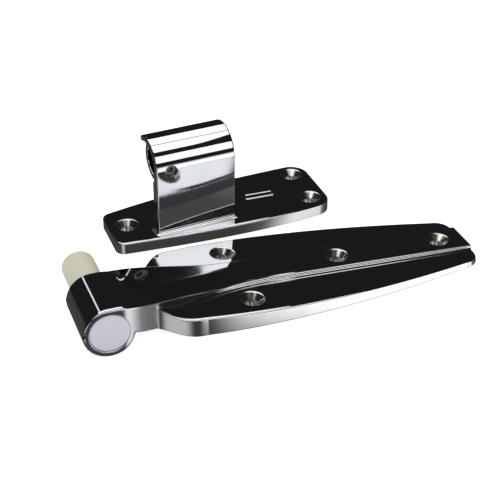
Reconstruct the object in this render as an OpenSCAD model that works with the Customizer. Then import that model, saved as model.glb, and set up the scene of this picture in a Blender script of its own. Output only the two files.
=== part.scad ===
// Offset door hinge of the lift-off kind, shown as its two halves lying side by side.
// The strap half carries the nylon pivot pin in its knuckle; the flange half has the socket.
// X runs along the strap, Y along the pivot axis, Z up. The origin is on the pivot axis,
// at the end face of the knuckle that the pin comes out of. Millimetres.

/* [Knuckle] */
// Outside diameter of the strap's knuckle
knuckle_d = 25; // [23:0.5:28]
// Length of the knuckle along the pivot axis
knuckle_len = 33; // [31:0.5:40]
// Diameter of the round cap that closes the knuckle
cap_d = 19.2; // [18.4:0.2:20]
// Thickness of the cap's disc
cap_t = 2.4; // [2:0.2:3.2]
// How far the cap lies below the knuckle's face
cap_recess = 0.4; // [0.2:0.1:0.8]

/* [Pivot pin] */
// Diameter of the nylon pivot pin outside the knuckle
pin_d = 16.5; // [15:0.5:17]
// Diameter of the pin's seat inside the knuckle
pin_seat_d = 17.5; // [17.2:0.1:18]
// Length of the pin outside the knuckle
pin_reach = 28; // [22:0.5:30]
// Length of the pin inside the knuckle
pin_seat = 21; // [18:0.5:22]
// Depth of the seat that the set screw bears on
pin_notch = 1.5; // [1.3:0.1:1.8]
// Length of that seat along the pin
pin_notch_len = 8; // [7:0.5:9]
// Bevel at the pin's free end
pin_bevel = 1; // [0.6:0.1:1.2]
// Diameter of the screw that holds the pin in the knuckle
pin_screw_d = 6; // [5:0.5:6]

/* [Strap] */
// Distance from the pivot axis to the strap's tip
strap_reach = 193; // [188:1:215]
// Greatest width across the two wings
wing_w = 67; // [63:1:72]
// Width across the wings where the tip's corners begin
tip_w = 41; // [35:1:45]
// Width of the raised rib
rib_w = 19.2; // [18:0.2:22]
// Height of the rib above the wings
rib_step = 2.4; // [1.6:0.2:3]
// Thickness of the wing at the tip
tip_t = 3.2; // [2.6:0.2:4]
// Fall of the wing's top for each 100 mm of its length
wing_fall = 4; // [3:0.25:4.5]
// Radius of the tip's corners
tip_r = 8; // [5:0.5:9]

/* [Strap screws] */
// Distance from the pivot axis to the pair of wing screws
wing_screw_x = 71; // [66:1:80]
// Spacing of the pair of wing screws
wing_screw_gap = 43; // [38:1:46]
// Distance from the tip to the nearest rib screw
tip_screw_x = 14.5; // [12:0.5:18]
// Spacing of the two rib screws
rib_screw_gap = 55.5; // [48:0.5:58]

/* [Screw holes] */
// Diameter of the screw holes
screw_d = 6.5; // [5.5:0.25:7]
// Diameter of the countersinks
sink_d = 12; // [10.5:0.25:13]

/* [Flange plate] */
// Length of the plate
plate_len = 119; // [116:1:132]
// Width of the plate at its wide end
plate_w = 51; // [49:0.5:56]
// Width of the plate at its narrow end
plate_narrow_w = 34.5; // [32:0.5:39]
// Thickness of the plate
plate_t = 6.4; // [5:0.2:8]
// Radius of the corners at the wide end
plate_wide_r = 9.5; // [6:0.5:11]
// Radius of the corners at the narrow end
plate_narrow_r = 5; // [3:0.5:7]
// Distance from the narrow end to its screw
narrow_screw_x = 10; // [8.5:0.5:12]
// Distance from the wide end to its pair of screws
wide_screw_x = 9.5; // [9:0.5:13]
// Spacing of the pair of screws
wide_screw_gap = 27; // [24:0.5:28]
// Left edge of the plate along the strap
flange_x = 25; // [20:1:32]
// Front edge of the plate behind the pivot pin's origin
flange_y = 48; // [46:1:56]

/* [Bracket] */
// Offset of the two mounting faces
mount_offset = 28.6; // [26:0.2:32]
// Width of the bracket
bracket_w = 43; // [41:0.5:46]
// Distance from the narrow end to the bracket
bracket_x = 22.5; // [20:0.5:24]
// Distance from the plate's front edge to the middle of the bracket's face
bracket_y = 6; // [5.5:0.25:8]
// Angle between the bracket and the plate's front edge, in degrees
bracket_turn = 5.5; // [0:0.5:6]
// Outside radius of the hood
hood_r = 14; // [13.5:0.25:15]
// Thickness of the hood's shell
hood_t = 3; // [2.4:0.2:4]
// How far round the hood goes from its front, in degrees
hood_sweep = 122; // [110:2:140]
// Thickness of the bracket's upright web
web_t = 6; // [5:0.25:7]
// Radius of the coves at the web's foot
web_cove = 3; // [2:0.25:4]
// How far the socket's mouth lies inside the hood
mouth_recess = 4; // [3:0.5:6]
// Distance from the hood's end to the set screw
set_screw_x = 8; // [7.5:0.25:10]
// Diameter of the set screw
set_screw_d = 6; // [5:0.5:6]

/* [Fits] */
// Running clearance between pin and bore, on the radius
run_gap = 0.05; // [0.02:0.01:0.1]
// Clearance between parts that do not turn on each other
loose_gap = 0.1; // [0.05:0.05:0.3]
// Room around the hood's end where it meets the strap
swing_gap = 0.5; // [0.3:0.1:1]

/* [Hidden] */
$fn = 96;
curve_steps = 14;
over = 1;

chrome = [0.62, 0.63, 0.65];
nylon = [0.83, 0.82, 0.70];
cap_grey = [0.70, 0.70, 0.76];
steel = [0.55, 0.55, 0.57];

knuckle_r = knuckle_d / 2;
pin_r = pin_d / 2;
pin_seat_r = pin_seat_d / 2;
bore_r = pin_r + run_gap;
knuckle_bore_r = pin_seat_r + run_gap;
pin_web_t = 3;
pin_web_y = -pin_seat - loose_gap;
washer_t = 1.5;
washer_r = pin_r - 0.6;
screw_head_t = 3;
screw_head_r = 5;
pin_hole_depth = 14;
pin_screw_bite = 12;
pin_key_af = 4;
pin_key_depth = 2;
chamber_r = cap_d / 2 - 0.7;
cap_face_y = -knuckle_len + cap_recess;
cap_back_y = cap_face_y + cap_t;

wing_root_x = 46;
wing_half = wing_w / 2;
wing_root_half = wing_half - 1.7;
wing_full_x = 84;
rib_half = rib_w / 2;
rib_root_x = 72;
arm_under_z = 10.4;

plate_back_x = flange_x + plate_len;
axis_y = flange_y + bracket_y + hood_r;
axis_z = knuckle_r + mount_offset;
hood_x = flange_x + bracket_x;
boss_r = hood_r - hood_t + 0.5;
socket_len = pin_reach - mouth_recess + 2;
socket_end_t = 3;
gusset_t = 6;
narrow_slant = 16;
wide_slant = 4;
narrow_front_slant = 3;
wide_front_slant = 10;
narrow_front_in = 1.2;
wide_front_in = 4.6;
foot_cove = 2.4;
set_screw_sunk = 1.6;
set_screw_len = hood_r - bore_r - set_screw_sunk - 0.4;
set_key_af = 3;
set_key_depth = 2;
set_mouth_t = 1.2;
set_mouth_extra = 0.8;
narrow_screw_y = plate_narrow_w / 2 + 1.75;
wide_pair_y = plate_w / 2 + 2.5;
pad_size = [16, 4.6, 0.4];
pad_from_wide_end = 42.5;
pad_from_front = 23.2;

// Height of the wing's top and of the rib's top over the mounting face, at x from the axis
function wing_z(x) = tip_t + (strap_reach - x) * wing_fall / 100;
function rib_z(x) = wing_z(x) + rib_step;

// Points of a cubic curve from a to d, drawn by the handles b and c
function curve(a, b, c, d) = [
    for (i = [0 : curve_steps])
        let (t = i / curve_steps, s = 1 - t)
        s * s * s * a + 3 * s * s * t * b + 3 * s * t * t * c + t * t * t * d
];

// Points of an arc about a centre, from one angle to another
function arc(centre, r, from, to, steps = 10) = [
    for (i = [0 : steps])
        let (angle = from + (to - from) * i / steps)
        centre + r * [cos(angle), sin(angle)]
];

// Underside of the arm, from where it leaves the door up to the knuckle
function under_arm() = curve([42, 0], [33, 0], [17, 0.83 * arm_under_z], [6, arm_under_z]);

// The same outline on the other side of the strap's centre line, in reverse
function mirrored(points) = [for (i = [len(points) - 1 : -1 : 0]) [points[i].x, -points[i].y]];

// Lifts what is drawn over the mounting face to its place under the pivot axis
module on_table() {
    translate([0, 0, -knuckle_r]) children();
}

// Stands an outline drawn in X and Z upright and gives it a thickness along Y
module upright(y_from, y_to) {
    translate([0, y_to, 0]) rotate([90, 0, 0]) linear_extrude(y_to - y_from) children();
}

// A round bar along Y
module bar_y(r, y_from, y_to) {
    translate([0, y_from, 0]) rotate([-90, 0, 0]) cylinder(r = r, h = y_to - y_from);
}

// A countersunk screw hole from above, with its top at z
module screw_hole(z, depth) {
    sink_h = (sink_d - screw_d) / 2;
    translate([0, 0, z - depth - over]) cylinder(d = screw_d, h = depth + 2 * over);
    translate([0, 0, z - sink_h]) cylinder(d1 = screw_d, d2 = sink_d, h = sink_h);
    translate([0, 0, z - 0.001]) cylinder(d = sink_d, h = knuckle_d);
}

// Side view of the arm and rib: down from the knuckle's top in one sweep, flat on the door
module arm_side() {
    top = curve([4, knuckle_d], [14, knuckle_d], [36, rib_z(36)], [rib_root_x, rib_z(rib_root_x)]);
    polygon(concat(
        [[0, knuckle_d]], top,
        [[strap_reach, rib_z(strap_reach)], [strap_reach, 0]],
        under_arm(), [[0, arm_under_z]]
    ));
}

// Plan of the arm and rib: as wide as the knuckle at first, then drawn in to the rib
module arm_plan() {
    front = curve([90, -rib_half], [34, -rib_half - 0.9], [24, -knuckle_len + 2], [6, -knuckle_len]);
    back = curve([8, 0], [18, 3.6], [28, rib_half], [50, rib_half]);
    polygon(concat(
        [[strap_reach, -rib_half]], front, [[0, -knuckle_len], [0, 0]],
        back, [[strap_reach, rib_half]]
    ));
}

// Side view of the wings: out of the arm in a hollow sweep, then a long thin wedge
module wing_side() {
    top = curve([18, 19], [28, 17], [32, wing_z(wing_root_x) + 0.6], [wing_root_x, wing_z(wing_root_x)]);
    polygon(concat(
        [[6, 19]], top,
        [[strap_reach, wing_z(strap_reach)], [strap_reach, 0]],
        under_arm()
    ));
}

// One long edge of the wings, from the root to the rounded corner at the tip
function wing_edge() =
    let (
        corner_x = strap_reach - tip_r,
        corner_half = tip_w / 2 - tip_r
    )
    concat(
        curve(
            [wing_root_x, wing_root_half], [wing_full_x, wing_half + 2.9],
            [wing_full_x + 52, wing_half - 2.2], [corner_x, tip_w / 2]
        ),
        arc([corner_x, corner_half], tip_r, 80, 0)
    );

// Plan of the wings: a waist at the neck, broad shoulders and a blunt tip
module wing_plan() {
    back_root = curve([18, 4], [32, 9], [31, wing_root_half], [wing_root_x, wing_root_half]);
    front_root = curve([wing_root_x, -wing_root_half], [33, -wing_root_half], [30, -25], [20, -25.5]);
    polygon(concat([[10, -2]], back_root, wing_edge(), mirrored(wing_edge()), front_root, [[10, -24]]));
}

// Where the four screws of the strap stand, each with the height of the face it sinks into
function strap_screws() = [
    for (side = [-1, 1]) [wing_screw_x, side * wing_screw_gap / 2, wing_z(wing_screw_x)],
    for (i = [0, 1])
        let (x = strap_reach - tip_screw_x - i * rib_screw_gap)
        [x, 0, rib_z(x)]
];

// Chromed zinc casting: knuckle, arm, raised rib and two wings in one piece
module strap() {
    color(chrome) difference() {
        union() {
            bar_y(knuckle_r, -knuckle_len, 0);
            on_table() intersection() {
                upright(-knuckle_len, wing_w) arm_side();
                linear_extrude(knuckle_d) arm_plan();
            }
            on_table() intersection() {
                upright(-wing_w, wing_w) wing_side();
                linear_extrude(knuckle_d) wing_plan();
            }
        }
        bar_y(hood_r + swing_gap, 0, wing_w);
        bar_y(knuckle_bore_r, pin_web_y, over);
        bar_y(pin_screw_d / 2 + 0.5, -knuckle_len, 0);
        bar_y(chamber_r, -knuckle_len - over, pin_web_y - pin_web_t);
        bar_y(cap_d / 2 + loose_gap / 2, -knuckle_len - over, cap_back_y);
        on_table() for (p = strap_screws())
            translate([p.x, p.y, 0]) screw_hole(p.z, p.z);
    }
}

// Moulded cap pressed into the knuckle, with a short skirt behind its disc
module knuckle_cap() {
    skirt_t = 1.2;
    skirt_len = 2;
    skirt_r = chamber_r - loose_gap / 2;
    color(cap_grey) {
        bar_y(cap_d / 2, cap_face_y, cap_back_y);
        difference() {
            bar_y(skirt_r, cap_back_y, cap_back_y + skirt_len);
            bar_y(skirt_r - skirt_t, cap_back_y, cap_back_y + skirt_len + over);
        }
    }
}

// Nylon pivot pin, with a bevelled free end, a seat for the set screw and a screw hole behind
module pivot_pin() {
    color(nylon) difference() {
        union() {
            bar_y(pin_seat_r, -pin_seat, -loose_gap);
            bar_y(pin_r, -pin_seat, pin_reach - pin_bevel);
            translate([0, pin_reach - pin_bevel, 0]) rotate([-90, 0, 0])
                cylinder(r1 = pin_r, r2 = pin_r - pin_bevel, h = pin_bevel);
        }
        translate([-pin_r, set_screw_x - pin_notch_len / 2, -pin_r - over])
            cube([pin_d, pin_notch_len, pin_notch + over]);
        bar_y(pin_screw_d / 2, -pin_seat - over, -pin_seat + pin_hole_depth);
    }
}

// Steel washer under the head of the pin's screw
module pin_washer() {
    seat_y = pin_web_y - pin_web_t - loose_gap;
    color(steel) difference() {
        bar_y(washer_r, seat_y - washer_t, seat_y);
        bar_y(pin_screw_d / 2 + 0.2, seat_y - washer_t - over, seat_y + over);
    }
}

// Steel screw that draws the washer to the pin and keeps the pin in the knuckle
module pin_screw() {
    head_y = pin_web_y - pin_web_t - loose_gap - washer_t;
    color(steel) difference() {
        union() {
            bar_y(screw_head_r, head_y - screw_head_t, head_y);
            bar_y(pin_screw_d / 2 - run_gap, head_y - over, -pin_seat + pin_screw_bite);
        }
        translate([0, head_y - screw_head_t - over, 0]) rotate([-90, 0, 0])
            cylinder(r = pin_key_af / sqrt(3), h = pin_key_depth + over, $fn = 6);
    }
}

// A bowed edge between two corners, each with the slant at which the edge leaves it
function bow(from, from_slant, to, to_slant) =
    let (
        reach = (to.x - from.x) / 3,
        points = curve(
            from, from + reach * [1, tan(from_slant)],
            to - reach * [1, tan(to_slant)], to
        )
    )
    [for (i = [1 : curve_steps - 1]) points[i]];

// Plan of the flange's plate: bowed in front and behind, round at its four corners
module plate_plan() {
    wide = plate_wide_r;
    narrow = plate_narrow_r;
    narrow_back = arc([narrow, plate_narrow_w - narrow], narrow, 175, 90 + narrow_slant);
    wide_back = arc([plate_len - wide, plate_w - wide], wide, 90 + wide_slant, 0);
    wide_front = arc(
        [plate_len - wide, wide_front_in + wide * cos(wide_front_slant)], wide, 0, wide_front_slant - 90
    );
    narrow_front = arc([narrow, narrow_front_in + narrow], narrow, 270 - narrow_front_slant, 185);
    polygon(concat(
        narrow_back,
        bow(narrow_back[len(narrow_back) - 1], narrow_slant, wide_back[0], wide_slant),
        wide_back, wide_front,
        bow(wide_front[len(wide_front) - 1], wide_front_slant, narrow_front[0], -narrow_front_slant),
        narrow_front
    ));
}

// Where the three screws of the flange stand, from the plate's corner
function flange_screws() = [
    [narrow_screw_x, narrow_screw_y],
    for (side = [-1, 1])
        [plate_len - wide_screw_x, wide_pair_y + side * wide_screw_gap / 2]
];

// End view of the bracket, from its front face: upright web, then the hood over the axis
module bracket_side() {
    difference() {
        union() {
            square([web_t, axis_z]);
            translate([hood_r, axis_z]) difference() {
                circle(hood_r);
                circle(hood_r - hood_t);
                polygon(concat([[0, 0]], arc([0, 0], 2 * hood_r, 180 - hood_sweep, -90)));
                translate([-hood_r, -2 * hood_r]) square([4 * hood_r, 2 * hood_r]);
            }
        }
        translate([hood_r, axis_z]) circle(hood_r - hood_t);
    }
}

// Hollow corner between an upright face and a flat one, along X
module cove(len, r) {
    rotate([90, 0, 90]) linear_extrude(len) difference() {
        square(r);
        translate([r, r]) circle(r);
    }
}

// Stands a profile drawn from the bracket's front face across the bracket's width
module across(x_from, x_to) {
    translate([x_from, flange_y + bracket_y, 0])
        rotate([90, 0, 90]) linear_extrude(x_to - x_from) children();
}

// A round bar along X on the socket's axis
module bar_x(r, x_from, x_to) {
    translate([x_from, axis_y, axis_z]) rotate([0, 90, 0]) cylinder(r = r, h = x_to - x_from);
}

// A round bar along Y, in from the bracket's front face, at the set screw
module bar_in(r, y_from, y_to) {
    translate([hood_x + set_screw_x, flange_y + bracket_y + y_from, axis_z])
        rotate([-90, 0, 0]) cylinder(r = r, h = y_to - y_from);
}

// Turns what is drawn square to the plate's front edge to the bracket's own direction
module on_bracket() {
    middle = [hood_x + bracket_w / 2, flange_y + bracket_y, 0];
    translate(middle) rotate(bracket_turn) translate(-middle) children();
}

// Chromed zinc casting: plate, upright web, hood and the socket that the pin drops into
module flange() {
    mouth_x = hood_x + mouth_recess;
    boss_end_x = mouth_x + socket_len + socket_end_t;
    gusset_x = (mouth_x + boss_end_x - gusset_t) / 2;
    color(chrome) on_table() difference() {
        union() {
            translate([flange_x, flange_y, 0]) linear_extrude(plate_t) plate_plan();
            on_bracket() {
                across(hood_x, hood_x + bracket_w) bracket_side();
                bar_x(boss_r, mouth_x, boss_end_x);
                across(gusset_x, gusset_x + gusset_t) polygon([
                    [web_t - over, 0], [2 * hood_r - 2, 0],
                    [2 * hood_r - 5, axis_z], [web_t - over, axis_z]
                ]);
                translate([hood_x, flange_y + bracket_y + web_t, plate_t]) cove(bracket_w, web_cove);
                for (side = [0, 1])
                    translate([hood_x + side * bracket_w, flange_y + bracket_y + side * web_t, plate_t])
                        rotate(side * 180 + 90) cove(web_t, foot_cove);
                translate([hood_x + bracket_w, flange_y + bracket_y, plate_t]) rotate(180) cove(bracket_w, foot_cove);
            }
            translate([plate_back_x - pad_from_wide_end, flange_y + pad_from_front, plate_t - over])
                cube([pad_size.x, pad_size.y, pad_size.z + over]);
        }
        on_bracket() {
            bar_x(bore_r, mouth_x - over, mouth_x + socket_len);
            bar_in(set_screw_d / 2, -over, hood_r);
            bar_in(set_screw_d / 2 + set_mouth_extra, -over, set_mouth_t);
        }
        for (p = flange_screws())
            translate([flange_x + p.x, flange_y + p.y, 0]) screw_hole(plate_t, plate_t);
    }
}

// Socket set screw in the bracket, which locks the pin in the flange
module set_screw() {
    color(steel) on_table() on_bracket() difference() {
        bar_in(set_screw_d / 2 - run_gap, set_screw_sunk, set_screw_sunk + set_screw_len);
        translate([hood_x + set_screw_x, flange_y + bracket_y + set_screw_sunk - over, axis_z])
            rotate([-90, 0, 0]) cylinder(r = set_key_af / sqrt(3), h = set_key_depth + over, $fn = 6);
    }
}

strap();
knuckle_cap();
pivot_pin();
pin_washer();
pin_screw();
flange();
set_screw();
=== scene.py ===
import math

import bmesh
import bpy
import numpy as np
from mathutils import Matrix, Vector


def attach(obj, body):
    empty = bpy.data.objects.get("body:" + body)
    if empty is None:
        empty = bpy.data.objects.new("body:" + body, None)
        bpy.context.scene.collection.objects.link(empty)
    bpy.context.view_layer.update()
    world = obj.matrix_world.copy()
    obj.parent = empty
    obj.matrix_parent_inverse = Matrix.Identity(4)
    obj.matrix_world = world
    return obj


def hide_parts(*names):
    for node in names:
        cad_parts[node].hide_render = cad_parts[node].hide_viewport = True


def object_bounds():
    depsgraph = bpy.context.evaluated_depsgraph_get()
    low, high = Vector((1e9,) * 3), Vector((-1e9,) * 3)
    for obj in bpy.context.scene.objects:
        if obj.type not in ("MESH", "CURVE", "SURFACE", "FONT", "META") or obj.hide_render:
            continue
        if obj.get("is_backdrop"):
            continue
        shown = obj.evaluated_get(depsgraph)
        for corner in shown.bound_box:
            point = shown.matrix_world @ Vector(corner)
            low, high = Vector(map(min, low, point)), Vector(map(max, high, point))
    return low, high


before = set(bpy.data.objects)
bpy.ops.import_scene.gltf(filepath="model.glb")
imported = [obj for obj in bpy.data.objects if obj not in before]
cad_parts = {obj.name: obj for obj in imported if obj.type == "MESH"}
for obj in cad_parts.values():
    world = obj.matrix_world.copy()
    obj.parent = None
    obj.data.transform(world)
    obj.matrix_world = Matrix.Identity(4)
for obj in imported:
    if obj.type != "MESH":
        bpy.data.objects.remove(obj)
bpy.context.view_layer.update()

# Strap: one zinc die casting of knuckle, arm, raised rib and two wings, buffed and chrome plated.
# Its skin is a loft of cross sections along the strap, in millimetres over the door's face,
# with the top edges buffed round and a small cove along the foot of the rib.
door_face = -12.5
knuckle_r = 12.5
knuckle_len = 33.0
strap_tip = 193.0
tip_half = 20.5
tip_corner = 8.0
tip_thick = 3.2
wing_fall = 0.04
wing_root = 31.8
wall_draft = 0.5
rib_half = 9.6
rib_step = 2.4
edge_round = 1.2
rib_cove = 1.0
floor_edge = 0.6
hood_relief = 14.5


def bezier(a, b, c, d, count=160):
    t = np.linspace(0, 1, count)[:, None]
    s = 1 - t
    a, b, c, d = (np.array(p, float) for p in (a, b, c, d))
    return s**3 * a + 3 * s * s * t * b + 3 * s * t * t * c + t**3 * d


def along(points, x):
    return np.interp(x, points[:, 0], points[:, 1])


def wing_height(x):
    return tip_thick + (strap_tip - x) * wing_fall


def rib_height(x):
    return wing_height(x) + rib_step


# Seen from the side: the tops of the arm and of the wings, and the underside of the arm.
knuckle_top = 2 * knuckle_r
arm_sweep = np.vstack(
    [
        [(0, knuckle_top)],
        bezier((4, knuckle_top), (14, knuckle_top), (36, rib_height(36)), (72, rib_height(72))),
        [(strap_tip, rib_height(strap_tip))],
    ]
)
wing_sweep = np.vstack(
    [
        [(-20, 19)],
        bezier((18, 19), (26, 16.5), (29, wing_height(40) + 0.3), (40, wing_height(40))),
        [(strap_tip, wing_height(strap_tip))],
    ]
)
under_sweep = np.vstack([bezier((6, 10.4), (17, 8.63), (33, 0), (42, 0)), [(strap_tip, 0)]])
# Seen from above: the sides of the arm and rib, then the outer edges of the wings.
arm_front = np.vstack(
    [
        [(-20, -knuckle_len)],
        bezier((6, -knuckle_len), (24, -31), (34, -rib_half - 0.9), (90, -rib_half)),
        [(strap_tip, -rib_half)],
    ]
)
arm_back = np.vstack(
    [
        [(-20, 0)],
        bezier((8, 0), (18, 3.6), (28, rib_half), (50, rib_half)),
        [(strap_tip, rib_half)],
    ]
)
shoulder = bezier((46, wing_root), (84, 36.4), (136, 31.3), (185, tip_half))
wing_front = np.vstack(
    [
        [(-20, -20), (10, -24)],
        bezier((20, -25.5), (30, -25), (33, -wing_root), (46, -wing_root)),
        shoulder * (1, -1),
    ]
)
wing_back = np.vstack(
    [
        [(-20, -9), (10, -2)],
        bezier((18, 4), (32, 9), (31, wing_root), (46, wing_root)),
        shoulder,
    ]
)

knuckle_turn = np.radians(np.linspace(0, 90, 30))
tip_turn = np.radians(np.linspace(0, 90, 22))
stations = np.concatenate(
    [
        -knuckle_r * np.cos(knuckle_turn),
        np.arange(0.5, 50, 0.5),
        np.arange(50, 75, 1.0),
        np.linspace(75, 184, 44),
        strap_tip - tip_corner + tip_corner * np.sin(tip_turn),
    ]
)
corner_turn = np.radians(np.linspace(0, 90, 8))
corner_start = strap_tip - tip_corner


def slope_scale(values, limit):
    return np.minimum(np.sqrt(1 + np.gradient(values, stations) ** 2), limit)


def tip_trim(x):
    over = np.clip(x - (strap_tip - edge_round), 0, edge_round)
    return edge_round - np.sqrt(np.maximum(edge_round**2 - over**2, 0))


def wing_half_at_tip(x):
    past = np.clip(x - corner_start, 0, tip_corner)
    return tip_half - tip_corner + np.sqrt(np.maximum(tip_corner**2 - past**2, 0))


top = along(arm_sweep, stations) - tip_trim(stations)
top_scale = slope_scale(along(arm_sweep, stations), 2)
wing_top = along(wing_sweep, stations) - tip_trim(stations)
front_in = along(arm_front, stations)
back_in = along(arm_back, stations)
front_out = along(wing_front, stations)
back_out = along(wing_back, stations)
at_tip = stations > corner_start
front_out[at_tip] = -wing_half_at_tip(stations[at_tip])
back_out[at_tip] = wing_half_at_tip(stations[at_tip])
front_out = np.minimum(front_out, front_in)
back_out = np.maximum(back_out, back_in)
front_scale = slope_scale(front_out, 2.5)
back_scale = slope_scale(back_out, 2.5)


def top_at(i, depth):
    x = stations[i]
    if x < 0:
        return knuckle_r + math.sqrt(max((knuckle_r - depth) ** 2 - x * x, 0))
    return top[i] - depth * top_scale[i]


def bottom_at(i, depth):
    x = stations[i]
    ring = knuckle_r - math.sqrt(max((knuckle_r - depth) ** 2 - x * x, 0))
    if x < 6:
        return ring
    arm = along(under_sweep, x) + depth
    if x > knuckle_r - 0.05:
        return arm
    return min(ring, arm)


def section(i):
    x = stations[i]
    low, high = bottom_at(i, 0), top_at(i, 0)
    ledge = min(max(wing_top[i], low + 0.35 * (high - low)), low + 0.8 * (high - low))
    start = 0.0
    if x < edge_round - knuckle_r:
        start = math.asin(max(1 - (knuckle_r + x) / edge_round, 0))
    turns = start + (math.pi / 2 - start) * np.linspace(0, 1, 8)
    rows = []
    for side, inner, outer, scale in (
        (1, front_in[i], front_out[i], front_scale[i]),
        (-1, back_in[i], back_out[i], back_scale[i]),
    ):
        step = abs(inner - outer)
        foot = edge_round if x < 14 else floor_edge
        foot_in = min(foot * scale, 3)
        draft = wall_draft if x > 24 else 0.0
        edge = min(edge_round, 0.45 * step, 0.45 * (ledge - low))
        edge_in = min(edge * scale, 0.45 * step)
        cove = min(rib_cove, 0.45 * step, 0.4 * (high - ledge))
        rim_in = min(edge_round * max(1.0, min(scale if step < 0.3 else 1.1, 2)), 2)
        half = []
        for a in reversed(turns):
            y = outer - side * draft + side * foot_in * (1 - math.cos(a))
            half.append((y, bottom_at(i, foot * (1 - math.sin(a)))))
        for a in corner_turn:
            half.append((outer + side * edge_in * (1 - math.cos(a)), ledge - edge * (1 - math.sin(a))))
        for a in corner_turn:
            half.append((inner - side * cove * (1 - math.sin(a)), ledge + cove * (1 - math.cos(a))))
        for a in turns:
            y = inner + side * rim_in * (1 - math.cos(a))
            half.append((y, top_at(i, edge_round * (1 - math.sin(a)))))
        rows.append(half)
    return [(x, y, z) for y, z in rows[0] + rows[1][::-1]]


def skin(name, rings, cap_start=True, cap_end=True):
    """A closed mesh over rings of points in millimetres over the door's face."""
    rings = np.array(rings, float)
    count = rings.shape[1]
    points = rings.reshape(-1, 3) + (0, 0, door_face)
    faces = []
    for i in range(len(rings) - 1):
        for j in range(count):
            k = (j + 1) % count
            faces.append((i * count + j, (i + 1) * count + j, (i + 1) * count + k, i * count + k))
    if cap_start:
        faces.append(tuple(range(count)))
    if cap_end:
        faces.append(tuple(reversed(range((len(rings) - 1) * count, len(rings) * count))))
    mesh = bpy.data.meshes.new(name)
    mesh.from_pydata((points * 0.001).tolist(), [], faces)
    shape = bmesh.new()
    shape.from_mesh(mesh)
    bmesh.ops.remove_doubles(shape, verts=shape.verts, dist=2e-6)
    bmesh.ops.dissolve_degenerate(shape, edges=shape.edges, dist=1e-6)
    bmesh.ops.recalc_face_normals(shape, faces=shape.faces)
    shape.to_mesh(mesh)
    shape.free()
    piece = bpy.data.objects.new(name, mesh)
    bpy.context.scene.collection.objects.link(piece)
    return piece


def turned(name, profile, centre, axis, segments=96, tilt=0.0):
    """A turned solid: profile is radius and distance along the axis, closed on the axis at both ends."""
    rings = []
    for k in range(segments):
        a = 2 * math.pi * k / segments
        ring = []
        for r, d in profile:
            u, v = r * math.cos(a), r * math.sin(a)
            if axis == "x":
                p = (d, u, v)
            elif axis == "y":
                p = (u, d, v)
            else:
                p = (u * math.cos(tilt) + d * math.sin(tilt), v, d * math.cos(tilt) - u * math.sin(tilt))
            ring.append((p[0] + centre[0], p[1] + centre[1], p[2] + centre[2]))
        rings.append(ring)
    return skin(name, rings + [rings[0]], False, False)


def combine(piece, tool, operation):
    """Cuts the tool out of the piece or joins it to the piece, and removes the tool."""
    step = piece.modifiers.new(operation.lower(), "BOOLEAN")
    step.operation = operation
    step.object = tool
    step.solver = "EXACT"
    step.material_mode = "TRANSFER"
    bpy.context.view_layer.update()
    done = bpy.data.meshes.new_from_object(piece.evaluated_get(bpy.context.evaluated_depsgraph_get()))
    piece.modifiers.clear()
    piece.data = done
    bpy.data.objects.remove(tool)
    return piece


def finish_smooth(piece, angle=32):
    """Smooth shading with the flat faces kept flat beside their rounded edges."""
    mesh = piece.data
    mesh.polygons.foreach_set("use_smooth", [True] * len(mesh.polygons))
    shape = bmesh.new()
    shape.from_mesh(mesh)
    for edge in shape.edges:
        if len(edge.link_faces) == 2:
            edge.smooth = edge.calc_face_angle(0) < math.radians(angle)
    shape.to_mesh(mesh)
    shape.free()
    weighted = piece.modifiers.new("weighted", "WEIGHTED_NORMAL")
    weighted.mode = "FACE_AREA"
    weighted.weight = 90
    weighted.keep_sharp = True
    bpy.context.view_layer.update()
    done = bpy.data.meshes.new_from_object(piece.evaluated_get(bpy.context.evaluated_depsgraph_get()))
    piece.modifiers.clear()
    piece.data = done
    return piece


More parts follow.
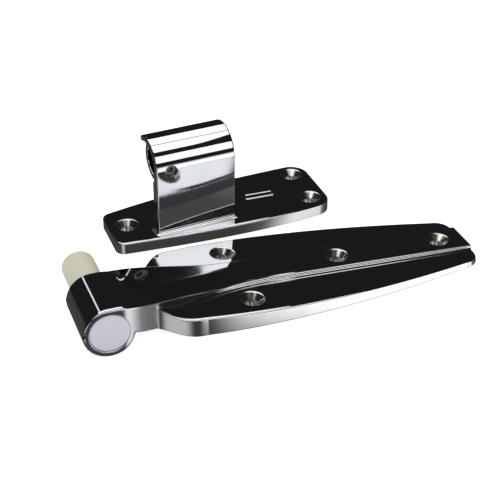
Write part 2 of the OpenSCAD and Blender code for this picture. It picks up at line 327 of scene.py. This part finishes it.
def chrome(name, tint, flat_rough, wall_rough):
    """Bright plate over a buffed casting: mirror tops, duller walls, faint waves and wipe marks."""
    finish = bpy.data.materials.new(name)
    finish.use_nodes = True
    nodes, links = finish.node_tree.nodes, finish.node_tree.links
    shader = nodes["Principled BSDF"]
    shader.inputs["Base Color"].default_value = (*tint, 1)
    shader.inputs["Metallic"].default_value = 1.0
    where = nodes.new("ShaderNodeTexCoord")
    facing = nodes.new("ShaderNodeNewGeometry")
    upright = nodes.new("ShaderNodeSeparateXYZ")
    links.new(facing.outputs["Normal"], upright.inputs["Vector"])
    lean = nodes.new("ShaderNodeMath")
    lean.operation = "ABSOLUTE"
    links.new(upright.outputs["Z"], lean.inputs[0])
    wipe = nodes.new("ShaderNodeTexNoise")
    wipe.inputs["Scale"].default_value = 90
    wipe.inputs["Detail"].default_value = 5
    links.new(where.outputs["Object"], wipe.inputs["Vector"])
    wiped = nodes.new("ShaderNodeMapRange")
    wiped.inputs["From Min"].default_value = 0.35
    wiped.inputs["From Max"].default_value = 0.75
    wiped.inputs["To Min"].default_value = 0.0
    wiped.inputs["To Max"].default_value = 0.03
    links.new(wipe.outputs["Fac"], wiped.inputs["Value"])
    dull = nodes.new("ShaderNodeMapRange")
    dull.inputs["From Min"].default_value = 0.05
    dull.inputs["From Max"].default_value = 0.45
    dull.inputs["To Min"].default_value = wall_rough
    dull.inputs["To Max"].default_value = flat_rough
    links.new(lean.outputs[0], dull.inputs["Value"])
    rough = nodes.new("ShaderNodeMath")
    rough.operation = "ADD"
    links.new(dull.outputs["Result"], rough.inputs[0])
    links.new(wiped.outputs["Result"], rough.inputs[1])
    links.new(rough.outputs[0], shader.inputs["Roughness"])
    waves = nodes.new("ShaderNodeTexNoise")
    waves.inputs["Scale"].default_value = 55
    waves.inputs["Detail"].default_value = 1.5
    links.new(where.outputs["Object"], waves.inputs["Vector"])
    buff = nodes.new("ShaderNodeBump")
    buff.inputs["Strength"].default_value = 0.05
    buff.inputs["Distance"].default_value = 0.0008
    links.new(waves.outputs["Fac"], buff.inputs["Height"])
    links.new(buff.outputs["Normal"], shader.inputs["Normal"])
    return finish


plate_tint = (0.80, 0.81, 0.83)
strap_chrome = chrome("strap_chrome", plate_tint, 0.02, 0.12)
sink_chrome = chrome("sink_chrome", (0.76, 0.72, 0.67), 0.17, 0.22)
screw_r = 3.25
sink_r = 6.5
sink_deep = 2.75
sink_round = 1.2


def screw_sink(height):
    """Cutter for a countersunk hole of 6.5 mm whose rim, 12 mm across, is buffed round."""
    rim = []
    for a in np.radians(np.linspace(135, 90, 6)):
        rim.append((sink_r + sink_round * math.cos(a), height - sink_round + sink_round * math.sin(a)))
    shaft = [(0, -2), (screw_r, -2), (screw_r, height - sink_deep)]
    return shaft + rim + [(sink_r, height + 4), (0, height + 4)]


strap = skin("strap_casting", [section(i) for i in range(len(stations))])
strap.data.materials.append(strap_chrome)
pivot = (0, 0, knuckle_r)
seat_r, seat_round = 9.65, 0.4
cap_seat = -30.2
washer_r, washer_seat = 8.9, -24.1
pin_bore_r, pin_floor = 8.8, -21.1
stem_r = 3.5
cap_rim = []
for a in np.radians((0, 30, 60, 90)):
    cap_rim.append((seat_r + seat_round * (1 - math.sin(a)), -knuckle_len + seat_round * (1 - math.cos(a))))
knuckle_bore = turned(
    "knuckle_bore",
    [(0, -35), (seat_r + seat_round, -35)]
    + cap_rim
    + [(seat_r, cap_seat), (washer_r, cap_seat), (washer_r, washer_seat), (stem_r, washer_seat)]
    + [(stem_r, pin_floor), (pin_bore_r, pin_floor), (pin_bore_r, -0.4), (9.2, 0), (9.2, 2), (0, 2)],
    pivot,
    "y",
)
hood_profile = [(0, 0), (hood_relief, 0), (hood_relief, 40), (0, 40)]
hood_room = turned("hood_room", hood_profile, pivot, "y")
combine(strap, hood_room, "DIFFERENCE")
combine(strap, knuckle_bore, "DIFFERENCE")
slant = math.atan(wing_fall)
wing_screw_x, wing_screw_y = 71, 21.5
rib_screws_x = (123, 178.5)
strap_screws = [(wing_screw_x, y, wing_height(wing_screw_x)) for y in (-wing_screw_y, wing_screw_y)]
strap_screws += [(x, 0, rib_height(x)) for x in rib_screws_x]
for x, y, h in strap_screws:
    sink = turned("sink", screw_sink(h), (x - h * math.sin(slant), y, 0), "z", 64, slant)
    sink.data.materials.append(sink_chrome)
    combine(strap, sink, "DIFFERENCE")
finish_smooth(strap)
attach(strap, "hinge")
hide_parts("strap")

# Knuckle cap: a pale grey moulded disc pressed into the knuckle, its face 0.4 mm inside the end.
# Satin plastic with a faint dish and a softened edge, turned as one profile.
cap_face = -32.6
cap_r, cap_round = 9.6, 0.6
cap_profile = [(0, cap_face + 0.12), (5, cap_face + 0.08), (8.6, cap_face)]
for a in np.radians((0, 22, 45, 68, 90)):
    rim_r = cap_r - cap_round * (1 - math.sin(a))
    cap_profile.append((rim_r, cap_face + cap_round * (1 - math.cos(a))))
collar = [(8.85, cap_seat), (8.85, cap_seat + 2), (7.65, cap_seat + 2), (7.65, cap_seat)]
cap_profile += [(cap_r, cap_seat)] + collar + [(0, cap_seat)]
knuckle_cap = turned("knuckle_cap_disc", cap_profile, pivot, "y")


def moulded(name, colour, shade, rough, grain, see_through):
    """Moulded plastic: slight mottling of the colour, a fine grain and a little depth."""
    finish = bpy.data.materials.new(name)
    finish.use_nodes = True
    nodes, links = finish.node_tree.nodes, finish.node_tree.links
    shader = nodes["Principled BSDF"]
    shader.inputs["Roughness"].default_value = rough
    shader.inputs["Subsurface Weight"].default_value = see_through
    shader.inputs["Subsurface Radius"].default_value = (0.004, 0.004, 0.003)
    shader.inputs["Subsurface Scale"].default_value = 1.0
    where = nodes.new("ShaderNodeTexCoord")
    cloud = nodes.new("ShaderNodeTexNoise")
    cloud.inputs["Scale"].default_value = 120
    cloud.inputs["Detail"].default_value = 4
    links.new(where.outputs["Object"], cloud.inputs["Vector"])
    tone = nodes.new("ShaderNodeMix")
    tone.data_type = "RGBA"
    tone.inputs["A"].default_value = (*colour, 1)
    tone.inputs["B"].default_value = (*shade, 1)
    links.new(cloud.outputs["Fac"], tone.inputs["Factor"])
    links.new(tone.outputs["Result"], shader.inputs["Base Color"])
    skin_grain = nodes.new("ShaderNodeTexNoise")
    skin_grain.inputs["Scale"].default_value = 1800
    links.new(where.outputs["Object"], skin_grain.inputs["Vector"])
    bump = nodes.new("ShaderNodeBump")
    bump.inputs["Strength"].default_value = grain
    bump.inputs["Distance"].default_value = 0.0001
    links.new(skin_grain.outputs["Fac"], bump.inputs["Height"])
    links.new(bump.outputs["Normal"], shader.inputs["Normal"])
    return finish


cap_grey = moulded("cap_plastic", (0.60, 0.60, 0.68), (0.66, 0.66, 0.74), 0.45, 0.15, 0.0)
knuckle_cap.data.materials.append(cap_grey)
finish_smooth(knuckle_cap, 40)
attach(knuckle_cap, "hinge")
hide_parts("knuckle_cap")

# Pivot pin: natural cream nylon rod that stands out of the knuckle and turns in it.
# Turned from bar with a softened end; the seat for the set screw is milled into its underside.
pin_r, pin_end, pin_round = 8.25, 28.0, 1.2
pin_profile = [(0, -7), (3, -7), (3, -21), (8.75, -21), (8.75, -0.1), (pin_r, -0.1)]
for a in corner_turn:
    pin_profile.append((pin_r - pin_round * (1 - math.cos(a)), pin_end - pin_round * (1 - math.sin(a))))
pin_profile.append((0, pin_end))
pin = turned("pivot_pin_rod", pin_profile, pivot, "y")
notch_low, notch_high = knuckle_r - pin_r - 2, knuckle_r - pin_r + 1.5
notch_side = ((4, notch_low), (12, notch_low), (12, notch_high), (4, notch_high))
notch = skin("pin_notch", [[(x, y, z) for y, z in notch_side] for x in (-9, 9)])
combine(pin, notch, "DIFFERENCE")
pin.data.materials.clear()
cream_nylon = moulded("cream_nylon", (0.78, 0.77, 0.60), (0.84, 0.83, 0.67), 0.38, 0.2, 0.25)
pin.data.materials.append(cream_nylon)
finish_smooth(pin, 40)
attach(pin, "pin")
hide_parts("pivot_pin")

# Pin washer and screw: zinc plated steel, hidden under the cap; they hold the pin in the knuckle.
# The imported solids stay, with a slightly mottled plated finish.
steel = bpy.data.materials.new("plated_steel")
steel.use_nodes = True
steel_nodes, steel_links = steel.node_tree.nodes, steel.node_tree.links
steel_shader = steel_nodes["Principled BSDF"]
steel_shader.inputs["Metallic"].default_value = 1.0
steel_where = steel_nodes.new("ShaderNodeTexCoord")
steel_cloud = steel_nodes.new("ShaderNodeTexNoise")
steel_cloud.inputs["Scale"].default_value = 400
steel_cloud.inputs["Detail"].default_value = 6
steel_links.new(steel_where.outputs["Object"], steel_cloud.inputs["Vector"])
steel_tone = steel_nodes.new("ShaderNodeMix")
steel_tone.data_type = "RGBA"
steel_tone.inputs["A"].default_value = (0.38, 0.37, 0.36, 1)
steel_tone.inputs["B"].default_value = (0.62, 0.60, 0.57, 1)
steel_links.new(steel_cloud.outputs["Fac"], steel_tone.inputs["Factor"])
steel_links.new(steel_tone.outputs["Result"], steel_shader.inputs["Base Color"])
steel_rough = steel_nodes.new("ShaderNodeMapRange")
steel_rough.inputs["To Min"].default_value = 0.25
steel_rough.inputs["To Max"].default_value = 0.45
steel_links.new(steel_cloud.outputs["Fac"], steel_rough.inputs["Value"])
steel_links.new(steel_rough.outputs["Result"], steel_shader.inputs["Roughness"])
for node in ("pin_washer", "pin_screw"):
    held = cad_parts[node]
    held.data.materials.clear()
    held.data.materials.append(steel)

# Flange: the second chromed casting, a bowed plate with an upright web and a hood over the socket.
# The plate is an outline with rounded edges, the web and hood one bar swept up and over and turned
# a little on the plate, the socket a boss on a gusset behind; cast in one, so joined here.
plate_t = 6.4
plate_x, plate_y = 25.0, 48.0
bracket_turn = math.radians(5.5)
flange_chrome = chrome("flange_chrome", plate_tint, 0.02, 0.05)
# Walls of the set screw's hole: the chrome darkened to a dull grey, as painted shade inside the recess.
hole_painted_shade = chrome("hole_painted_shade", (0.30, 0.30, 0.30), 0.35, 0.40)

# The polished front of the web mirrors as though it leaned forward and turned a little:
# only its shading is bent, and its mesh stays upright.
web_lean = math.radians(7.5)
web_turn = math.radians(4.3)
web_face = (
    math.sin(web_turn) * math.cos(web_lean),
    -math.cos(web_turn) * math.cos(web_lean),
    -math.sin(web_lean),
)
flange_nodes, flange_links = flange_chrome.node_tree.nodes, flange_chrome.node_tree.links
face_way = flange_nodes.new("ShaderNodeNewGeometry")
face_where = flange_nodes.new("ShaderNodeTexCoord")
face_parts = flange_nodes.new("ShaderNodeSeparateXYZ")
flange_links.new(face_where.outputs["Object"], face_parts.inputs["Vector"])
face_front = flange_nodes.new("ShaderNodeVectorMath")
face_front.operation = "DOT_PRODUCT"
face_front.inputs[1].default_value = (math.sin(bracket_turn), -math.cos(bracket_turn), 0)
flange_links.new(face_way.outputs["Normal"], face_front.inputs[0])
# The face is what looks to the front, above the cove at the foot and below the hood.
web_foot_z, web_top_z, soft_edge = -0.0045, 0.0293, 0.0002
face_tests = []
for source, low, high in (
    (face_front.outputs["Value"], 0.96, 0.97),
    (face_parts.outputs["Z"], web_foot_z, web_foot_z + soft_edge),
    (face_parts.outputs["Z"], web_top_z, web_top_z - soft_edge),
):
    test = flange_nodes.new("ShaderNodeMapRange")
    test.inputs["From Min"].default_value = low
    test.inputs["From Max"].default_value = high
    flange_links.new(source, test.inputs["Value"])
    face_tests.append(test)
face_share = face_tests[0].outputs["Result"]
for test in face_tests[1:]:
    both = flange_nodes.new("ShaderNodeMath")
    both.operation = "MULTIPLY"
    flange_links.new(face_share, both.inputs[0])
    flange_links.new(test.outputs["Result"], both.inputs[1])
    face_share = both.outputs[0]
face_bend = flange_nodes.new("ShaderNodeMix")
face_bend.data_type = "VECTOR"
as_cast, as_mirrored = face_bend.inputs[4], face_bend.inputs[5]
as_mirrored.default_value = web_face
flange_links.new(face_share, face_bend.inputs[0])
flange_links.new(face_way.outputs["Normal"], as_cast)
flange_links.new(face_bend.outputs[1], flange_nodes["Bump"].inputs["Normal"])


def round_corner(centre, r, start, stop, count=14):
    a = np.radians(np.linspace(start, stop, count))
    return np.array(centre) + r * np.stack([np.cos(a), np.sin(a)], 1)


def bowed(start, start_slant, stop, stop_slant):
    """A long edge of the plate that leaves one corner and meets the next at the given slants."""
    reach = (stop[0] - start[0]) / 3
    near = start + reach * np.array((1, math.tan(math.radians(start_slant))))
    far = stop - reach * np.array((1, math.tan(math.radians(stop_slant))))
    return bezier(start, near, far, stop, 60)[1:-1]


plate_len, plate_w = 119.0, 51.0
narrow_r, wide_r = 5.0, 9.5
narrow_back = round_corner((narrow_r, 29.5), narrow_r, 175, 106)
wide_back = round_corner((plate_len - wide_r, plate_w - wide_r), wide_r, 94, 0, 20)
wide_front = round_corner((plate_len - wide_r, 13.96), wide_r, 0, -80, 20)[1:]
narrow_front = round_corner((narrow_r, 6.2), narrow_r, 267, 185)
plate_outline = np.vstack(
    [
        narrow_back,
        bowed(narrow_back[-1], 16, wide_back[0], 4),
        wide_back,
        wide_front,
        bowed(wide_front[-1], 10, narrow_front[0], -3),
        narrow_front,
    ]
)
run = np.roll(plate_outline, -1, 0) - np.roll(plate_outline, 1, 0)
run /= np.linalg.norm(run, axis=1)[:, None]
inward = np.stack([run[:, 1], -run[:, 0]], 1)
plate_round = 0.9
plate_rings = [(0.4, 0.0), (0.12, 0.12), (0.0, 0.4)]
for a in corner_turn:
    plate_rings.append((plate_round * (1 - math.cos(a)), plate_t - plate_round * (1 - math.sin(a))))
flange = skin(
    "flange_casting",
    [
        [(plate_x + p[0], plate_y + p[1], height) for p in plate_outline + inward * depth]
        for depth, height in plate_rings
    ],
)
flange.data.materials.append(flange_chrome)

web_front = 54.0
web_t = 6.0
web_left, web_right = 47.5, 90.5
socket_y, socket_h = 68.0, 41.1
hood_r, hood_in = 14.0, 11.0
hood_sweep = 122.0
hood_end = 0.9
foot_r = 1.8
outer_edge, inner_edge = 0.9, 0.6


def bar_ring(place, into, thick, left, right, outer_r, inner_r):
    """A ring of the swept bar: place is its outer face in Y and height, into points through the bar."""
    ring = []
    for cx, cn, r, start in (
        (left + outer_r, outer_r, outer_r, 270),
        (left + inner_r, thick - inner_r, inner_r, 180),
        (right - inner_r, thick - inner_r, inner_r, 90),
        (right - outer_r, outer_r, outer_r, 0),
    ):
        for a in np.radians(np.linspace(start, start - 90, 7)):
            x = cx + r * math.cos(a)
            n = cn + r * math.sin(a)
            ring.append((x, place[0] + into[0] * n, place[1] + into[1] * n))
    return ring


def turn_bracket(piece):
    """The bracket stands turned on the plate, about the middle of its front face."""
    middle = Vector(((web_left + web_right) / 2000, web_front / 1000, 0))
    turn = Matrix.Rotation(bracket_turn, 4, "Z")
    piece.data.transform(Matrix.Translation(middle) @ turn @ Matrix.Translation(-middle))
    return piece


bracket_rings = []
foot_heights = plate_t + foot_r * (1 - np.cos(corner_turn))
for h in (plate_t - 2, *foot_heights, *np.linspace(10, socket_h, 34)):
    up = min(max((h - plate_t) / foot_r, 0), 1)
    flare = foot_r * (1 - math.sqrt(1 - (1 - up) ** 2))
    thick = web_t
    if h > socket_h - 7.6:
        thick = min(web_t, hood_r - math.sqrt(hood_in**2 - (h - socket_h) ** 2))
    lead = 0.92 * flare
    bracket_rings.append(
        bar_ring(
            (web_front - lead, h), (1, 0), thick + lead + flare,
            web_left - flare, web_right + flare, outer_edge + 0.2 * flare, inner_edge + 0.4 * flare,
        )
    )
sweep_stop = hood_sweep - math.degrees(hood_end / hood_r)
for a in np.linspace(3, sweep_stop, 44):
    t = math.radians(a)
    place = (socket_y - hood_r * math.cos(t), socket_h + hood_r * math.sin(t))
    into = (math.cos(t), -math.sin(t))
    bracket_rings.append(
        bar_ring(place, into, hood_r - hood_in, web_left, web_right, outer_edge, inner_edge)
    )
for a in corner_turn[1:]:
    t = math.radians(sweep_stop) + hood_end / hood_r * math.sin(a)
    trim = hood_end * (1 - math.cos(a))
    r = hood_r - trim
    place = (socket_y - r * math.cos(t), socket_h + r * math.sin(t))
    into = (math.cos(t), -math.sin(t))
    bracket_rings.append(
        bar_ring(
            place, into, hood_r - hood_in - 2 * trim, web_left + trim, web_right - trim,
            outer_edge, max(inner_edge - 0.3 * trim, 0.1),
        )
    )
bracket = skin("bracket", bracket_rings)
bracket.data.materials.append(flange_chrome)
combine(flange, turn_bracket(bracket), "UNION")
socket_centre = (0, socket_y, socket_h)
boss_r, boss_left, boss_right = 11.5, 51.5, 80.5
boss_half = [(0, 0), (boss_r - 0.7, 0), (boss_r - 0.2, 0.2), (boss_r, 0.7)]
boss = turned(
    "boss",
    [(r, boss_left + d) for r, d in boss_half] + [(r, boss_right - d) for r, d in reversed(boss_half)],
    socket_centre,
    "x",
)
boss.data.materials.append(flange_chrome)
combine(flange, turn_bracket(boss), "UNION")
gusset_rings = []
for x, trim in ((63, 0.7), (63.2, 0.2), (63.7, 0), (68.3, 0), (68.8, 0.2), (69, 0.7)):
    low_back = (x, web_front + 26 - trim, 3)
    high_back = (x, web_front + 23 - trim, socket_h)
    gusset_rings.append([(x, web_front + 5, 3), low_back, high_back, (x, web_front + 5, socket_h)])
gusset = skin("gusset", gusset_rings)
gusset.data.materials.append(flange_chrome)
combine(flange, turn_bracket(gusset), "UNION")
socket_r, socket_floor = 8.3, 77.5
socket_lip = ((0.5, 0), (0.15, 0.15), (0, 0.5))
socket_mouth = [(socket_r + wide, boss_left + deep) for wide, deep in socket_lip]
socket = turned(
    "socket",
    [(0, 50), (socket_r + 0.5, 50)] + socket_mouth + [(socket_r, socket_floor), (0, socket_floor)],
    socket_centre,
    "x",
)
combine(flange, turn_bracket(socket), "DIFFERENCE")
set_screw_x = 55.5
set_hole = turned(
    "set_hole",
    [(0, -1.5), (3.2, -1.5), (3.2, 0.1), (3, 0.4), (3, 13.5), (0, 13.5)],
    (set_screw_x, web_front, socket_h),
    "y",
    48,
)
# The hole's walls take the darkened chrome: painted shade in the recess.
set_hole.data.materials.append(hole_painted_shade)
combine(flange, turn_bracket(set_hole), "DIFFERENCE")
flange_screws = ((35, 67), (134.5, 62.5), (134.5, 89.5))
for x, y in flange_screws:
    sink = turned("sink", screw_sink(plate_t), (x, y, 0), "z", 64)
    sink.data.materials.append(sink_chrome)
    combine(flange, sink, "DIFFERENCE")
finish_smooth(flange)
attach(flange, "hinge")
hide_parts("flange")

# Set screw: a small steel screw in the web, pointing at the socket, tinted dark grey.
# The imported solid stays, with a dull dark finish.
set_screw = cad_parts["set_screw"]
set_screw.data.materials.clear()
set_screw.data.materials.append(chrome("dark_grey_steel", (0.26, 0.26, 0.26), 0.35, 0.40))

# Pad: the small raised panel cast on the plate, with a fine raised line around it.
# Part of the flange's casting, so it is plated with it.
pad_centre = np.array((109.5, 73.5))
pad_half = np.array((8.0, 2.3))
pad_corner = 0.6
pad_outline = []
for x, y, start in ((1, -1, -90), (1, 1, 0), (-1, 1, 90), (-1, -1, 180)):
    corner = pad_centre + (pad_half - pad_corner) * (x, y)
    pad_outline.append(round_corner(corner, pad_corner, start, start + 90, 5))
pad_outline = np.vstack(pad_outline) - pad_centre
pad_rings = []
for depth, height in ((0, -0.5), (0, 0.3), (0.12, 0.42), (0.5, 0.42), (0.62, 0.3), (0.7, 0.15)):
    share = 1 - depth / pad_half
    pad_rings.append([(*(pad_centre + p * share), plate_t + height) for p in pad_outline])
pad = skin("plate_pad", pad_rings)
pad.data.materials.append(flange_chrome)
finish_smooth(pad, 50)
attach(pad, "hinge")

# Floor: a plain white plane, wide enough for every view, with a glow of its own.
# The chrome mirrors the grey table of the surroundings in its place; it is no part of the hinge.
bpy.ops.mesh.primitive_plane_add(size=6, location=(0.1, 0.3, door_face * 0.001 - 0.0001))
floor = bpy.context.object
floor.name = "floor"
white = bpy.data.materials.new("white_floor")
white.use_nodes = True
floor_shader = white.node_tree.nodes["Principled BSDF"]
floor_shader.inputs["Base Color"].default_value = (0.93, 0.93, 0.93, 1)
floor_shader.inputs["Roughness"].default_value = 0.9
floor_shader.inputs["Specular IOR Level"].default_value = 0.0
floor_shader.inputs["Emission Color"].default_value = (1, 1, 1, 1)
floor_shader.inputs["Emission Strength"].default_value = 0.85
floor.data.materials.append(white)
floor.visible_glossy = False
floor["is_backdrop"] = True


# Light: two soft panels overhead with a gap between them, one upright in front, a strip far behind
# and a soft fill. Around is a dark room over a table that is grey in places, so that level chrome
# mirrors black, upright walls shade from dark to pale, and round edges carry white lines.
def panel(name, centre, size, turn, glow):
    light = bpy.data.lights.new(name, "AREA")
    light.shape = "RECTANGLE"
    light.size, light.size_y = size
    light.energy = glow * math.pi * size[0] * size[1]
    lamp = bpy.data.objects.new(name, light)
    lamp.location = centre
    lamp.rotation_euler = [math.radians(a) for a in turn]
    bpy.context.scene.collection.objects.link(lamp)
    return lamp


panel("panel_over_front", (0.0325, -0.085, 0.65), (0.665, 0.37), (0, 0, 0), 1.35)
panel("panel_over_back", (0.0325, 0.3725, 0.65), (0.665, 0.485), (0, 0, 0), 1.35)
panel("panel_front", (0.075, -0.52, 0.375), (0.85, 0.39), (90, 0, 0), 1.2)
panel("strip_back_left", (-0.243, 0.976, 0.653), (0.07, 0.2), (-57, 0, 14), 0.9)
panel("fill_behind", (-0.1, 0.45, 0.7), (0.5, 0.5), (-30, 0, 0), 3.2).visible_glossy = False
world = bpy.data.worlds.new("dark_studio")
world.use_nodes = True
sky_nodes, sky_links = world.node_tree.nodes, world.node_tree.links
sky_where = sky_nodes.new("ShaderNodeTexCoord")
sky_parts = sky_nodes.new("ShaderNodeSeparateXYZ")
sky_links.new(sky_where.outputs["Generated"], sky_parts.inputs["Vector"])
front = sky_nodes.new("ShaderNodeMath")
front.operation = "MULTIPLY"
front.inputs[1].default_value = -1
sky_links.new(sky_parts.outputs["Y"], front.inputs[0])
compass = sky_nodes.new("ShaderNodeMath")
compass.operation = "ARCTAN2"
sky_links.new(sky_parts.outputs["X"], compass.inputs[0])
sky_links.new(front.outputs[0], compass.inputs[1])
bearing = sky_nodes.new("ShaderNodeMapRange")
bearing.inputs["From Min"].default_value = -math.pi
bearing.inputs["From Max"].default_value = math.pi
sky_links.new(compass.outputs[0], bearing.inputs["Value"])
# Greys of the table by bearing in degrees, from straight in front, at a distance and close by.
table_rings = []
far_table = (
    ((-180, 0.05), (-60, 0.05), (-30, 0.6), (-20, 0.55), (-8, 0.03), (4, 0.04))
    + ((13, 1.2), (40, 1.4), (54, 1.4), (64, 0.22), (100, 0.06), (180, 0.05))
)
near_table = (
    ((-180, 0.06), (-60, 0.06), (-30, 0.55), (-20, 0.5), (-8, 0.05), (24, 0.05))
    + ((29, 0.1), (36, 0.95), (44, 0.85), (62, 0.22), (90, 0.06), (180, 0.05))
)
for stops in (far_table, near_table):
    ring = sky_nodes.new("ShaderNodeValToRGB")
    for place, grey in stops[1:-1]:
        stop = ring.color_ramp.elements.new(0.5 + place / 360)
        stop.color = (grey, grey, grey, 1)
    ring.color_ramp.elements[0].color = (stops[0][1],) * 3 + (1,)
    ring.color_ramp.elements[-1].color = (stops[-1][1],) * 3 + (1,)
    sky_links.new(bearing.outputs["Result"], ring.inputs["Fac"])
    table_rings.append(ring)


def layer(start, stop):
    """A blend of two parts of the surroundings, from A to B as the direction sinks from start to stop."""
    sinking = sky_nodes.new("ShaderNodeMapRange")
    sinking.inputs["From Min"].default_value = start
    sinking.inputs["From Max"].default_value = stop
    sky_links.new(sky_parts.outputs["Z"], sinking.inputs["Value"])
    blend = sky_nodes.new("ShaderNodeMix")
    blend.data_type = "RGBA"
    sky_links.new(sinking.outputs["Result"], blend.inputs["Factor"])
    return blend


table = layer(-0.42, -0.47)
sky_links.new(table_rings[0].outputs["Color"], table.inputs["A"])
sky_links.new(table_rings[1].outputs["Color"], table.inputs["B"])
table_foot = layer(-0.62, -0.68)
table_foot.inputs["B"].default_value = (0.065, 0.065, 0.065, 1)
sky_links.new(table.outputs["Result"], table_foot.inputs["A"])
room = layer(-0.03, -0.15)
room.inputs["A"].default_value = (0.012, 0.012, 0.013, 1)
sky_links.new(table_foot.outputs["Result"], room.inputs["B"])
sky_links.new(room.outputs["Result"], sky_nodes["Background"].inputs["Color"])
bpy.context.scene.world = world
bpy.context.scene.view_settings.view_transform = "Standard"

# Camera: a long lens from the front left and above, as in the photograph.
# The strap runs away to the right and the flange lies behind it.
lens = bpy.data.cameras.new("camera")
lens.sensor_width = 36
lens.lens = 94.25
camera = bpy.data.objects.new("camera", lens)
camera.location = (-0.1048, -0.5007, 0.3340)
camera.rotation_euler = (math.radians(58.57), 0, math.radians(-20.04))
bpy.context.scene.collection.objects.link(camera)
bpy.context.scene.camera = camera

low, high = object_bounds()
